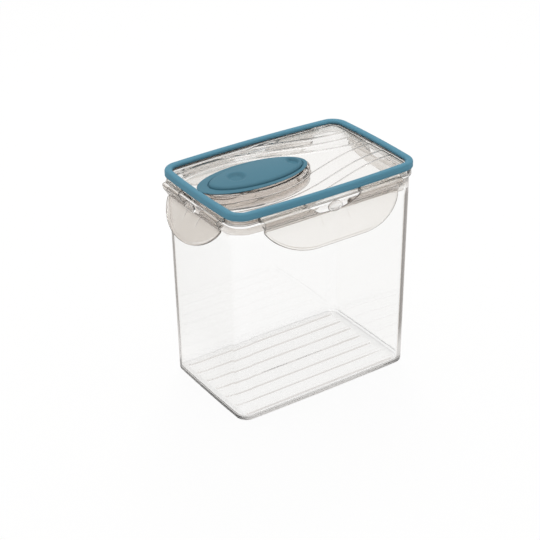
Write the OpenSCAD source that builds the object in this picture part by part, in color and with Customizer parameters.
// Cereal container: a clear tapered box with a lid that four side latches hold down.
// An oval cap in the lid rocks open when its inner end is pressed, and uncovers a pouring neck.
// X runs along the length, Y along the width and Z up. The origin is the middle of the base.

/* [Container] */
// Length of the base from corner to corner, before its sides bow out
base_length = 190.6; // [176:0.2:194]
// Width of the base from corner to corner
base_width = 121.2; // [108:0.2:123]
// Radius of the base's corners, seen from above
base_corner = 11.3; // [8:0.1:14]
// How far the base's long sides bow out in their middle
base_bow_long = 1.1; // [0:0.1:2]
// How far the base's short sides bow out in their middle
base_bow_short = 0.7; // [0:0.1:1.6]
// Thickness of the container's walls
body_wall = 2.0; // [1.6:0.1:2.6]
// Thickness of the container's floor between its ribs
floor_thick = 2.6; // [2:0.1:4]
// Radius of the outer edge round the base
foot_round = 3.0; // [2:0.1:5]
// Height of the container's mouth above the table
mouth_height = 209.6; // [140:0.2:240]
// How far the collar round the mouth lies below it
collar_drop = 5.2; // [4.8:0.1:6]
// Height of the collar's edge
collar_thick = 2.4; // [2:0.1:3]
// Number of ribs along the floor
rib_count = 7; // [3:2:9]
// Distance from one floor rib to the next
rib_pitch = 16.8; // [10:0.1:17]
// Width of a floor rib
rib_width = 5.0; // [3:0.1:7]
// Height of a floor rib above the floor
rib_height = 1.0; // [0.6:0.1:2]
// Distance from a rib's end to the end of the base
rib_end_gap = 9.3; // [7:0.1:20]

/* [Lid] */
// Length of the lid from corner to corner, before its sides bow out
lid_length = 200.7; // [196:0.2:212]
// Width of the lid from corner to corner
lid_width = 128.2; // [126:0.2:140]
// Radius of the lid's corners, seen from above
lid_corner = 15.2; // [12:0.1:20]
// How far the lid's long sides bow out in their middle
lid_bow_long = 3.3; // [1.5:0.1:4]
// How far the lid's short sides bow out in their middle
lid_bow_short = 2.15; // [1:0.05:3]
// Thickness of the soft band on the lid's outer side
band_side = 1.2; // [1:0.1:1.6]
// Thickness of the soft band on top of the lid's edge
band_top = 2.9; // [2.4:0.1:4]
// Rounding of the soft band's outer upper edge
band_round = 2.2; // [1.2:0.1:2.4]
// Thickness of the lid's skirt, which hangs outside the container's mouth
skirt_thick = 1.3; // [1:0.1:1.6]
// Gap between the lid's skirt and the container
skirt_gap = 0.5; // [0.3:0.1:1]
// Gap between the lid's skirt and the container's collar below it
collar_gap = 0.4; // [0.2:0.1:0.8]
// Thickness of the web over the container's mouth
web_thick = 1.5; // [1.2:0.1:2]
// Gap between the container's wall and the lid's inner wall
plug_gap = 0.7; // [0.4:0.1:1.5]
// Thickness of the lid's inner wall
plug_wall = 1.3; // [1:0.1:1.6]
// Depth of the lid's highest terrace below the top of the web
terrace_drop = 1.5; // [1:0.1:2.5]
// Step from one terrace of the lid's panel down to the next
terrace_step = 1.8; // [1:0.1:2]
// Share of each step that is left at the lid's far end, where the terraces run together
terrace_fade = 0.3; // [0.2:0.05:0.6]
// Thickness of the lid's panel
panel_thick = 1.5; // [1.2:0.1:2]
// Height of the soft gasket under the web
gasket_height = 1.9; // [1.4:0.1:3]

/* [Spout] */
// Length of the oval spout well, inside
well_length = 112.9; // [104:0.1:116]
// Width of the oval spout well, inside
well_width = 57.0; // [52:0.2:60]
// Distance from the lid's inner wall to the outer end of the spout well, inside
well_end_gap = 1.1; // [0.4:0.1:3]
// Thickness of the spout well's wall
well_wall = 1.4; // [1.2:0.1:2]
// Depth of the spout well under its own edge
well_depth = 13.8; // [12:0.1:18]
// Length of the pouring neck's opening
neck_length = 52.0; // [40:0.2:54]
// Width of the pouring neck's opening
neck_width = 36.0; // [28:0.2:38]
// Distance from the pouring neck's middle to the spout well's outer end, inside
neck_offset = 31.0; // [28:0.2:36]
// Height of the pouring neck above the floor of the well
neck_rise = 9.2; // [7:0.1:9.4]
// Distance of the cap's pivot from the inner end of the spout well
pivot_offset = 25.3; // [24:0.1:34]
// Depth of the cap's pivot under the spout well's edge
pivot_drop = 2.6; // [2.4:0.1:3]
// Radius of the cap's pivot pins
pin_radius = 1.6; // [1.2:0.05:1.7]
// Running clearance round a pivot pin
pin_clearance = 0.05; // [0.02:0.01:0.1]

/* [Cap] */
// How far the cap's outer tip laps over the spout well's edge
cap_lap = 2.3; // [1.6:0.1:2.6]
// Gap between the cap's inner end and the spout well's inner face
cap_end_gap = 1.2; // [0.8:0.1:2]
// Gap between the cap's sides and the spout well's inner face
cap_side_gap = 2.3; // [0.3:0.1:3]
// Height of the cap's rim above its inner plate
cap_rim = 2.3; // [1.8:0.1:2.8]
// Thickness of the cap's lip, all round its rim
cap_lip = 0.8; // [0.6:0.1:1.4]
// How far the lip stands out over the cap's inner plate
cap_lip_reach = 2.5; // [1:0.1:3.5]
// Thickness of the soft cap under its dimples
cap_wall = 1.6; // [1.2:0.1:2]
// Length of the cap's raised pad
pad_length = 100; // [84:0.5:102]
// Width of the cap's raised pad
pad_width = 42; // [34:0.5:44]
// Height of the cap's raised pad above its rim
pad_rise = 1.6; // [1.3:0.1:2.5]
// How far the raised pad's middle lies from the cap's middle, towards the pivot
pad_shift = 3.7; // [0:0.1:5]
// Gap between the cap's inner plate and the inside of the spout well
plate_gap = 0.9; // [0.7:0.1:1.4]
// Thickness of the cap's inner plate, and of its plug
plug_plate = 1.2; // [1:0.1:1.6]
// Gap between the cap's plug and the pouring neck
neck_gap = 1.0; // [0.8:0.1:1.4]
// How far the plug reaches down into the pouring neck
plug_reach = 3.2; // [2.5:0.1:5]
// Gap left between the spout seal and the pouring neck
seal_gap = 0.1; // [0.05:0.05:0.3]
// Radius of a finger dimple in the cap
dimple_radius = 8; // [6:0.1:9]
// Depth of a finger dimple
dimple_depth = 1.2; // [0.6:0.1:1.6]

/* [Latches] */
// Length of a latch's tongue along the long side, at its root
long_latch = 145.4; // [130:0.2:150]
// Length of a latch's tongue along the short side, at its root
short_latch = 88; // [80:0.5:92]
// Length of the straight lower edge of a long latch
long_latch_flat = 50; // [10:0.5:60]
// Length of the straight lower edge of a short latch
short_latch_flat = 2; // [1:0.5:20]
// Fullness of a long latch's rounded ends, where 2 is an ellipse
long_latch_fullness = 1.45; // [1.2:0.05:2.2]
// Fullness of a short latch's rounded ends, where 2 is an ellipse
short_latch_fullness = 1.6; // [1.2:0.05:2.2]
// How far a latch's shoulder is longer than its tongue at each end
latch_end_slope = 3; // [1:0.1:4]
// Thickness of a latch
latch_wall = 1.5; // [1.2:0.1:1.8]
// How far a latch's shoulder stands out from its hinge
shoulder_out = 4.9; // [4.5:0.1:6]
// Drop of the shoulder below the hinge
shoulder_drop = 12.8; // [12.4:0.1:15]
// Length of the tongue below the shoulder
tongue_length = 27.2; // [20:0.1:34]
// Angle by which the tongue stands out from upright
tongue_flare = 34; // [24:0.2:38]
// Radius of the hinge bead
bead_radius = 1.1; // [1:0.05:1.2]
// Clearance round the hinge bead
bead_clearance = 0.05; // [0.02:0.01:0.1]
// Distance from the lid's outermost edge out to the hinge's axis
hinge_out = 0.3; // [0.2:0.05:0.6]
// Drop of the hinge's axis below the soft band
hinge_drop = 1.6; // [1.5:0.05:2]
// Half the width of a long latch's window, at its hinge
long_window = 28.5; // [22:0.5:32]
// Half the width of a short latch's window, at its hinge
short_window = 20.5; // [16:0.5:22]
// How far the hook reaches in under the container's ledge
hook_grip = 1.5; // [1:0.1:1.6]
// Gap between the hook and the ledge above it
hook_gap = 0.3; // [0.2:0.05:0.5]
// Width of the oval boss in each latch's window
boss_width = 15.2; // [12:0.2:17]
// Height of that boss
boss_height = 10; // [8:0.2:10]
// Width of the smooth lip round the ring on the boss
boss_lip = 1; // [0.8:0.1:1.6]

/* [Hidden] */

clear_plastic = [0.90, 0.90, 0.89, 0.45];
soft_blue = [0.35, 0.55, 0.64];
cap_blue = [0.37, 0.57, 0.66];
frosted_silicone = [0.93, 0.93, 0.91, 0.8];

corner_steps = 7;    // straight pieces in each corner of an outline
long_steps = 10;     // straight pieces in each long side
short_steps = 7;     // straight pieces in each short side
oval_steps = 56;     // straight pieces in an oval
wave_steps = 20;     // straight pieces in a terrace line
over = 0.5;          // how far a cutting shape runs past what it cuts
bond = 0.3;          // how far two shapes of one piece run into each other
seat_gap = 0.05;     // play between the gasket and the container's mouth

// Heights of the lid's stack, from the container's mouth up
collar_bottom = mouth_height - collar_drop - collar_thick;
collar_top = mouth_height - collar_drop;
skirt_bottom = collar_top + collar_gap;
gasket_bottom = mouth_height + seat_gap;
web_bottom = gasket_bottom + gasket_height + seat_gap;
web_top = web_bottom + web_thick;
band_bottom = mouth_height;
rim_top = web_top + band_top;

// Insets of the lid's walls from its outermost line
skirt_inset = band_side;
mouth_inset = skirt_inset + skirt_thick + skirt_gap;
plug_inset = mouth_inset + body_wall + plug_gap;
inner_inset = plug_inset + plug_wall;

// Spout well and cap
well_a = well_length / 2;
well_b = well_width / 2;
inner_end = -(lid_length / 2 + lid_bow_short - inner_inset);
well_x = inner_end + well_end_gap + well_a;
well_top = web_top;
well_bottom = well_top - well_depth;
deck_thick = plug_plate + bond;
neck_x = well_x - well_a + neck_offset;
neck_top = well_bottom + neck_rise;
pivot_x = well_x + well_a - pivot_offset;
pivot_z = well_top - pivot_drop;
plate_top = well_top;
plate_bottom = plate_top - plug_plate;
cap_a = (well_length + cap_lap - cap_end_gap) / 2;
cap_b = well_b - cap_side_gap;
cap_x = well_x + well_a - cap_end_gap - cap_a;
pad_x = cap_x + pad_shift;
ear_half = pivot_drop - 0.2;
ear_thick = 1.4;

// Latches and what they close on
hinge_z = band_bottom - hinge_drop;
hinge_y = lid_width / 2 + lid_bow_long + hinge_out;
hinge_x = lid_length / 2 + lid_bow_short + hinge_out;
ledge_in = hinge_out + skirt_inset - 0.1;
ledge_bottom = collar_bottom - 0.4;
window_depth = shoulder_drop - 0.6;
bracket_margin = 1.2;

// Terrace lines: each is middle + swing * cos(180 * (x - wave_start) / wave_length)
wave_start = -50;
wave_length = 145;
far_waves = [[70.5, 15], [51.5, 15.5], [40, 16], [30, 20]];
near_waves = [[-46.5, -16.5], [-32, -16], [-11, -15]];

// ---- outlines ----

// Half of a side's points, from one corner to the next, as shares of its length
function corner_points(hl, hw, r, sx, sy, from) =
    [for (i = [0 : corner_steps]) let (a = from + 90 * i / corner_steps)
        [sx * (hl - r) + r * cos(a), sy * (hw - r) + r * sin(a)]];
function side_points(p, q, steps) =
    [for (i = [1 : steps - 1]) p + (q - p) * i / steps];
function plain_outline(hl, hw, r) = concat(
    corner_points(hl, hw, r, 1, 1, 0),
    side_points([hl - r, hw], [r - hl, hw], long_steps),
    corner_points(hl, hw, r, -1, 1, 90),
    side_points([-hl, hw - r], [-hl, r - hw], short_steps),
    corner_points(hl, hw, r, -1, -1, 180),
    side_points([r - hl, -hw], [hl - r, -hw], long_steps),
    corner_points(hl, hw, r, 1, -1, 270),
    side_points([hl, r - hw], [hl, hw - r], short_steps));
// A rounded rectangle whose sides bow out along parabolas
function bowed_outline(hl, hw, r, bow_long, bow_short) =
    [for (p = plain_outline(hl, hw, r))
        [p.x + sign(p.x) * bow_short * (1 - pow(p.y / hw, 2)),
         p.y + sign(p.y) * bow_long * (1 - pow(p.x / hl, 2))]];
function lid_outline(inset) =
    bowed_outline(lid_length / 2 - inset, lid_width / 2 - inset, max(lid_corner - inset, 1),
                  lid_bow_long, lid_bow_short);
function mix_of(a, b, t) = a + (b - a) * t;
// The container's outer face at a height, moved inwards by an inset
function body_outline(z, inset) =
    let (t = min(z / collar_bottom, 1))
    bowed_outline(mix_of(base_length / 2, lid_length / 2 - mouth_inset, t) - inset,
                  mix_of(base_width / 2, lid_width / 2 - mouth_inset, t) - inset,
                  max(mix_of(base_corner, lid_corner - mouth_inset, t) - inset, 1),
                  mix_of(base_bow_long, lid_bow_long, t),
                  mix_of(base_bow_short, lid_bow_short, t));
function oval(a, b) =
    [for (i = [0 : oval_steps - 1]) [a * cos(360 * i / oval_steps), b * sin(360 * i / oval_steps)]];

// Two triangles for each step along a stack of rings that all have n points
function band_faces(n, lower, upper) =
    [for (j = [0 : n - 1]) let (k = (j + 1) % n)
        each [[lower * n + j, upper * n + j, upper * n + k],
              [lower * n + j, upper * n + k, lower * n + k]]];
// A closed solid from rings of points, each drawn anticlockwise, from the bottom face up,
// over the edge and down to the inner floor
module stacked(rings) {
    n = len(rings[0]);
    m = len(rings);
    polyhedron(points = [for (ring = rings) each ring],
        faces = concat([[for (j = [0 : n - 1]) j]],
            [for (i = [0 : m - 2]) each band_faces(n, i, i + 1)],
            [[for (j = [0 : n - 1]) (m - 1) * n + n - 1 - j]]), convexity = 10);
}
// A section of [inset, height] points swept round the lid's outline
module swept(section) {
    rings = [for (p = section) [for (q = lid_outline(p[0])) [q.x, q.y, p[1]]]];
    n = len(rings[0]);
    m = len(rings);
    polyhedron(points = [for (ring = rings) each ring],
        faces = [for (i = [0 : m - 1]) each band_faces(n, i, (i + 1) % m)], convexity = 10);
}
module slab(outline, bottom, top) {
    translate([0, 0, bottom]) linear_extrude(top - bottom) polygon(outline);
}
// An upright ring between two insets of the lid's outline
module lid_ring(outer, inner, bottom, top) {
    translate([0, 0, bottom]) linear_extrude(top - bottom) difference() {
        polygon(lid_outline(outer));
        polygon(lid_outline(inner));
    }
}
module oval_ring(x, a, b, wall, bottom, top) {
    translate([x, 0, bottom]) linear_extrude(top - bottom) difference() {
        polygon(oval(a + wall, b + wall));
        polygon(oval(a, b));
    }
}

// ---- container ----

function body_ring(z, inset) = [for (p = body_outline(z, inset)) [p.x, p.y, z]];
function collar_ring(z, inset) = [for (p = lid_outline(inset)) [p.x, p.y, z]];
foot_steps = 4;
floor_round = 4;

module container_shell() {
    foot = [for (i = [0 : foot_steps]) let (a = 90 * i / foot_steps)
        body_ring(foot_round * (1 - cos(a)), foot_round * (1 - sin(a)))];
    collar = [body_ring(collar_bottom, 0),
              collar_ring(collar_bottom, skirt_inset + 0.3), collar_ring(collar_bottom + 0.3, skirt_inset),
              collar_ring(collar_top, skirt_inset), collar_ring(collar_top, mouth_inset)];
    mouth = [collar_ring(mouth_height - 0.4, mouth_inset), collar_ring(mouth_height, mouth_inset + 0.4),
             collar_ring(mouth_height, mouth_inset + body_wall - 0.4),
             collar_ring(mouth_height - 0.4, mouth_inset + body_wall)];
    inside = [body_ring(collar_bottom, body_wall)];
    hollow = [for (i = [0 : foot_steps]) let (a = 90 * i / foot_steps)
        body_ring(floor_thick + floor_round * (1 - sin(a)), body_wall + floor_round * (1 - cos(a)))];
    stacked(concat(foot, collar, mouth, inside, hollow));
}
module floor_rib() {
    half = base_length / 2 - rib_end_gap - rib_width / 2;
    linear_extrude(rib_height + bond) {
        square([2 * half, rib_width], center = true);
        for (s = [-1, 1]) translate([s * half, 0]) circle(d = rib_width, $fn = 32);
    }
}
// Straight ledges on the collar, one for each hook of a latch
module ledge(length, window, reach) {
    first = window + 2;
    last = length / 2 - 1;
    for (s = [-1, 1])
        translate([s > 0 ? first : -last, -(reach - ledge_in), ledge_bottom])
            cube([last - first, 4, collar_top - ledge_bottom]);
}
module container_body() {
    color(clear_plastic) {
        container_shell();
        for (i = [0 : rib_count - 1])
            translate([0, (i - (rib_count - 1) / 2) * rib_pitch, floor_thick - bond]) floor_rib();
        for (turn = [0, 180]) {
            rotate([0, 0, turn]) ledge(long_latch, long_window, hinge_y);
            rotate([0, 0, turn - 90]) ledge(short_latch, short_window, hinge_x);
        }
    }
}

// ---- lid ----

function wave_y(wave, x) = wave[0] + wave[1] * cos(180 * (x - wave_start) / wave_length);
function wave_line(wave, shift) =
    [for (i = [0 : wave_steps]) let (x = mix_of(-lid_length / 2, lid_length / 2, i / wave_steps))
        [x, wave_y(wave, x) + shift]];
function backwards(points) = [for (i = [len(points) - 1 : -1 : 0]) points[i]];
terrace_end = lid_length / 2 - inner_inset;
// Height of a terrace's top at the lid's spout half and at its far end
function terrace_z(level) = web_top - terrace_drop - level * terrace_step;
function terrace_far_z(level) = web_top - terrace_drop - level * terrace_step * terrace_fade;
terrace_bend = 5;
// All that lies between the upper sides of two terraces, or below one of them by a thickness
module terrace_space(level, low_level) {
    rotate([90, 0, 0]) linear_extrude(lid_width, center = true) polygon([
        [-lid_length / 2, terrace_z(low_level) - panel_thick],
        [terrace_bend, terrace_z(low_level) - panel_thick],
        [terrace_end, terrace_far_z(low_level) - panel_thick],
        [lid_length / 2, terrace_far_z(low_level) - panel_thick],
        [lid_length / 2, terrace_far_z(level)],
        [terrace_end, terrace_far_z(level)],
        [terrace_bend, terrace_z(level)],
        [-lid_length / 2, terrace_z(level)]]);
}
module between_lines(upper, lower) {
    translate([0, 0, well_bottom]) linear_extrude(rim_top - well_bottom) intersection() {
        polygon(lid_outline(plug_inset + plug_wall / 2));
        polygon(concat(lower, backwards(upper)));
    }
}
function edge_line(y) = [[-lid_length / 2, y], [lid_length / 2, y]];
module terrace(upper, lower, level) {
    intersection() {
        terrace_space(level, level);
        between_lines(upper, lower);
    }
}
module riser(wave, side, level) {
    intersection() {
        terrace_space(level, level + 1);
        between_lines(side > 0 ? wave_line(wave, bond) : wave_line(wave, panel_thick),
                      side > 0 ? wave_line(wave, -panel_thick) : wave_line(wave, -bond));
    }
}
module lid_panel() {
    last_far = len(far_waves) - 1;
    last_near = len(near_waves) - 1;
    // the highest far terrace lies one step above the plain edge of the panel
    for (i = [0 : last_far]) {
        terrace(i == 0 ? edge_line(lid_width) : wave_line(far_waves[i - 1], 0),
                wave_line(far_waves[i], 0), i - 1);
        riser(far_waves[i], 1, i - 1);
    }
    terrace(wave_line(far_waves[last_far], 0), wave_line(near_waves[last_near], 0), last_far);
    for (i = [0 : last_near]) {
        terrace(wave_line(near_waves[i], 0),
                i == 0 ? edge_line(-lid_width) : wave_line(near_waves[i - 1], 0), i);
        riser(near_waves[i], -1, i);
    }
}
module well_space(bottom, top) {
    translate([well_x, 0, 0]) slab(oval(well_a, well_b), bottom, top);
}
module pivot_bores() {
    translate([pivot_x, 0, pivot_z]) rotate([90, 0, 0])
        cylinder(r = pin_radius + pin_clearance, h = well_width + 2 * well_wall, center = true, $fn = 48);
}
// A bar along the skirt that holds a latch's bead in a groove, open upwards and outwards
module hinge_bracket(length, window, reach) {
    first = window + 0.5 - bracket_margin;
    last = length / 2 + latch_end_slope + bracket_margin;
    for (s = [-1, 1])
        translate([s * (first + last) / 2, -reach, hinge_z]) rotate([90, 0, -90])
            linear_extrude(last - first, center = true) difference() {
                translate([-5, -2.1]) square([5.75, 2.1 + hinge_drop - 0.1]);
                circle(r = bead_radius + bead_clearance, $fn = 48);
                polygon([[0, 0], [0.35, -1.6], [4, -2.6], [4, 4], [-1.4, 4]]);
            }
}
// An ellipse inside the boss's outline
module boss_oval(inset) {
    polygon(oval(boss_width / 2 - inset, boss_height / 2 - inset));
}
// A plain oval boss that shows in the latch's window, on a short root under the soft band
module window_boss(reach) {
    face = reach + shoulder_out - 0.2;
    back = reach - hinge_out - skirt_inset + 0.3;
    translate([0, -back, hinge_z - boss_height / 2 - 1]) rotate([90, 0, 0]) difference() {
        linear_extrude(face - back) boss_oval(0);
        translate([0, 0, face - back - 0.5]) linear_extrude(1) difference() {
            boss_oval(boss_lip);
            boss_oval(boss_lip + 0.8);
        }
    }
    translate([-2, -back - 1, skirt_bottom + 0.2]) cube([4, 2, 1.6]);
}
module lid_shell() {
    color(clear_plastic) difference() {
        union() {
            lid_ring(skirt_inset, skirt_inset + skirt_thick, skirt_bottom, web_top);
            lid_ring(skirt_inset, inner_inset, web_bottom, web_top);
            lid_ring(plug_inset, inner_inset, terrace_z(3) - panel_thick, web_top);
            difference() {
                union() {
                    lid_panel();
                    translate([well_x, 0, 0])
                        slab(oval(well_a + well_wall, well_b + well_wall), well_bottom - deck_thick, well_top);
                }
                well_space(well_bottom, rim_top);
            }
            translate([neck_x, 0, 0])
                slab(oval(neck_length / 2 + well_wall, neck_width / 2 + well_wall), well_bottom - bond, neck_top);
            difference() {
                for (turn = [0, 180]) {
                    rotate([0, 0, turn]) hinge_bracket(long_latch, long_window, hinge_y);
                    rotate([0, 0, turn - 90]) hinge_bracket(short_latch, short_window, hinge_x);
                    rotate([0, 0, turn]) window_boss(hinge_y);
                    rotate([0, 0, turn - 90]) window_boss(hinge_x);
                }
                slab(lid_outline(skirt_inset + skirt_thick - 0.2), collar_bottom, rim_top);
            }
        }
        translate([neck_x, 0, 0])
            slab(oval(neck_length / 2, neck_width / 2), well_bottom - deck_thick - over, neck_top + over);
        pivot_bores();
    }
}
module cap_outline(play) {
    translate([cap_x, 0]) polygon(oval(cap_a + play, cap_b + play));
}
module rim_band() {
    steps = 4;
    outer = [for (i = [0 : steps]) let (a = 90 * i / steps)
        [band_round * (1 - cos(a)), rim_top - band_round * (1 - sin(a))]];
    inner_round = band_round * 0.8;
    inner = [for (i = [0 : steps]) let (a = 90 * i / steps)
        [inner_inset - inner_round * (1 - sin(a)), rim_top - inner_round * (1 - cos(a))]];
    section = concat([[band_side, band_bottom], [0.5, band_bottom], [0, band_bottom + 0.6]],
        outer, inner, [[inner_inset, web_top], [band_side, web_top]]);
    color(soft_blue) difference() {
        swept(section);
        // relief over each latch's hinge, and round the tip of the cap
        for (turn = [0, 180]) {
            rotate([0, 0, turn]) band_relief(long_latch, long_window, hinge_y);
            rotate([0, 0, turn - 90]) band_relief(short_latch, short_window, hinge_x);
        }
        translate([0, 0, well_top - 0.2]) linear_extrude(rim_top) cap_outline(0.4);
    }
}
module band_relief(length, window, reach) {
    first = window + 0.5 - bracket_margin - 0.3;
    last = length / 2 + latch_end_slope + bracket_margin + 0.3;
    for (s = [-1, 1])
        translate([s > 0 ? first : -last, -reach - 1, band_bottom - 1])
            cube([last - first, 6, 1.8]);
}
module lid_gasket() {
    outer = skirt_inset + skirt_thick + 0.2;
    inner = plug_inset - 0.2;
    top = gasket_bottom + gasket_height;
    middle = (outer + inner) / 2;
    color(frosted_silicone) swept([
        [outer, gasket_bottom + 0.6], [outer, top - 0.3], [outer + 0.3, top],
        [inner - 0.3, top], [inner, top - 0.3], [inner, gasket_bottom + 0.6],
        [middle + 0.6, gasket_bottom], [middle - 0.6, gasket_bottom]]);
}

// ---- latches ----

function tongue_outline(root, flat, reach, fullness) =
    let (steps = 14,
         right = [for (i = [0 : steps]) let (a = 90 * i / steps)
             [flat + (root - flat) * cos(a), -reach * pow(sin(a), 2 / fullness)]])
    concat([[root, 1.2]], right, [for (p = backwards(right)) [-p.x, p.y]], [[-root, 1.2]]);
// Section through a shoulder: [distance out from the hinge, height over it]
hook_top = -(hinge_z - ledge_bottom) - hook_gap;
hook_tip = -ledge_in - hook_grip;
shoulder_foot = 0.1;
crease_drop = 5.8;
crease_out = shoulder_out - 0.8;
function return_wall(z) =
    let (t = (-z - crease_drop + latch_wall / 2) / (shoulder_drop - crease_drop))
    crease_out - latch_wall * 0.87 + (shoulder_foot - crease_out) * t;
module shoulder_section() {
    polygon([
        [0, -0.1], [shoulder_out - 1.8, -0.1], [shoulder_out - 0.5, -0.9], [shoulder_out, -2.2],
        [crease_out, -crease_drop], [shoulder_foot, -shoulder_drop],
        [shoulder_foot - latch_wall * 0.9, -shoulder_drop + latch_wall * 0.45],
        [return_wall(hook_top - 2.8), hook_top - 2.8],
        [hook_tip + 0.3, hook_top - 1.7], [hook_tip, hook_top - 1.2],
        [hook_tip, hook_top - 0.2], [hook_tip + 0.2, hook_top],
        [return_wall(hook_top), hook_top], [crease_out - latch_wall * 0.87, -crease_drop + latch_wall / 2],
        [shoulder_out - latch_wall, -2.4], [shoulder_out - latch_wall - 0.6, -1.3], [0, -1.1]]);
}
module latch(length, flat_length, fullness, window) {
    root = length / 2;
    flat = flat_length / 2;
    window_r = (pow(window, 2) + pow(window_depth, 2)) / (2 * window_depth);
    difference() {
        union() {
            intersection() {
                rotate([90, 0, -90]) linear_extrude(length + 4 * latch_end_slope, center = true) shoulder_section();
                rotate([90, 0, 0]) linear_extrude(40, center = true) polygon([
                    [-root - latch_end_slope, 2], [-root, -shoulder_drop], [root, -shoulder_drop],
                    [root + latch_end_slope, 2]]);
            }
            rotate([0, 90, 0]) cylinder(r = bead_radius, h = length + 2 * latch_end_slope, center = true, $fn = 48);
            translate([0, -shoulder_foot, -shoulder_drop]) rotate([90 - tongue_flare, 0, 0])
                translate([0, 0, -latch_wall]) {
                    linear_extrude(latch_wall) polygon(tongue_outline(root, flat, tongue_length, fullness));
                    // raised border and two fine ribs below the window
                    linear_extrude(latch_wall + 0.5) difference() {
                        polygon(tongue_outline(root, flat, tongue_length, fullness));
                        polygon(tongue_outline(root - 2, flat - 0.5, tongue_length - 2, fullness));
                        translate([-length, 0]) square([2 * length, 10]);
                    }
                    for (s = [-1, 1])
                        translate([s * window / 2 - 0.5, -14, 0]) cube([1, 13, latch_wall + 0.4]);
                }
        }
        translate([0, 0, window_r - window_depth]) rotate([90, 0, 0])
            cylinder(r = window_r, h = 60, center = true, $fn = 180);
    }
}
module long_side_latch(turn) {
    color(clear_plastic) rotate([0, 0, turn]) translate([0, -hinge_y, hinge_z])
        latch(long_latch, long_latch_flat, long_latch_fullness, long_window);
}
module short_side_latch(turn) {
    color(clear_plastic) rotate([0, 0, turn]) translate([0, -hinge_x, hinge_z])
        latch(short_latch, short_latch_flat, short_latch_fullness, short_window);
}
module front_latch() { long_side_latch(0); }
module back_latch() { long_side_latch(180); }
module left_latch() { short_side_latch(-90); }
module right_latch() { short_side_latch(90); }

// ---- cap ----

module dimple(x) {
    ball = (pow(dimple_radius, 2) + pow(dimple_depth, 2)) / (2 * dimple_depth);
    translate([x, 0, plate_top + cap_rim + pad_rise - dimple_depth + ball])
        sphere(r = ball, $fn = 96);
}
module cap_shell() {
    edge = 0.8;
    color(cap_blue) difference() {
        union() {
            translate([0, 0, plate_top]) linear_extrude(cap_rim) cap_outline(-cap_lip_reach);
            translate([0, 0, plate_top + cap_rim - cap_lip]) linear_extrude(cap_lip) cap_outline(0);
            translate([pad_x, 0, 0])
                slab(oval(pad_length / 2, pad_width / 2), plate_top, plate_top + cap_rim + pad_rise - edge);
            translate([pad_x, 0, 0])
                slab(oval(pad_length / 2 - edge, pad_width / 2 - edge), plate_top,
                     plate_top + cap_rim + pad_rise);
        }
        // the pad is hollow underneath
        translate([pad_x, 0, 0])
            slab(oval(pad_length / 2 - 3, pad_width / 2 - 3), plate_top - over,
                 plate_top + cap_rim + pad_rise - dimple_depth - cap_wall);
        dimple(neck_x + 6);
        dimple(pivot_x + pivot_offset / 2);
    }
}
// Half the spout well's width, inside, at a distance along the lid
function well_half(x) = well_b * sqrt(1 - pow((x - well_x) / well_a, 2));
module cap_plug() {
    seat_a = neck_length / 2 - neck_gap;
    seat_b = neck_width / 2 - neck_gap;
    ear_y = well_half(pivot_x + ear_half + 1) - 0.3 - ear_thick / 2;
    color(clear_plastic) {
        translate([0, 0, plate_bottom]) linear_extrude(plug_plate) intersection() {
            translate([well_x, 0]) polygon(oval(well_a - plate_gap, well_b - plate_gap));
            translate([cap_x, 0]) polygon(oval(cap_a - 0.6, well_b - plate_gap));
        }
        oval_ring(neck_x, seat_a - plug_plate, seat_b - plug_plate, plug_plate,
                  neck_top - plug_reach, plate_bottom + bond);
        for (s = [-1, 1]) {
            translate([pivot_x - ear_half, s * ear_y - ear_thick / 2, pivot_z])
                cube([2 * ear_half, ear_thick, plate_bottom - pivot_z + bond]);
            translate([pivot_x, s * ear_y, pivot_z]) rotate([90, 0, 0])
                cylinder(r = ear_half, h = ear_thick, center = true, $fn = 48);
            translate([pivot_x, s * ear_y, pivot_z]) rotate([s > 0 ? -90 : 90, 0, 0])
                cylinder(r = pin_radius, h = well_half(pivot_x) + well_wall - ear_y, $fn = 48);
        }
    }
}
module spout_seal() {
    thick = neck_gap - seal_gap;
    color(frosted_silicone)
        oval_ring(neck_x, neck_length / 2 - neck_gap, neck_width / 2 - neck_gap, thick,
                  neck_top - plug_reach + 0.6, neck_top - plug_reach + 2.6);
}

container_body();
lid_shell();
rim_band();
lid_gasket();
front_latch();
back_latch();
left_latch();
right_latch();
cap_shell();
cap_plug();
spout_seal();
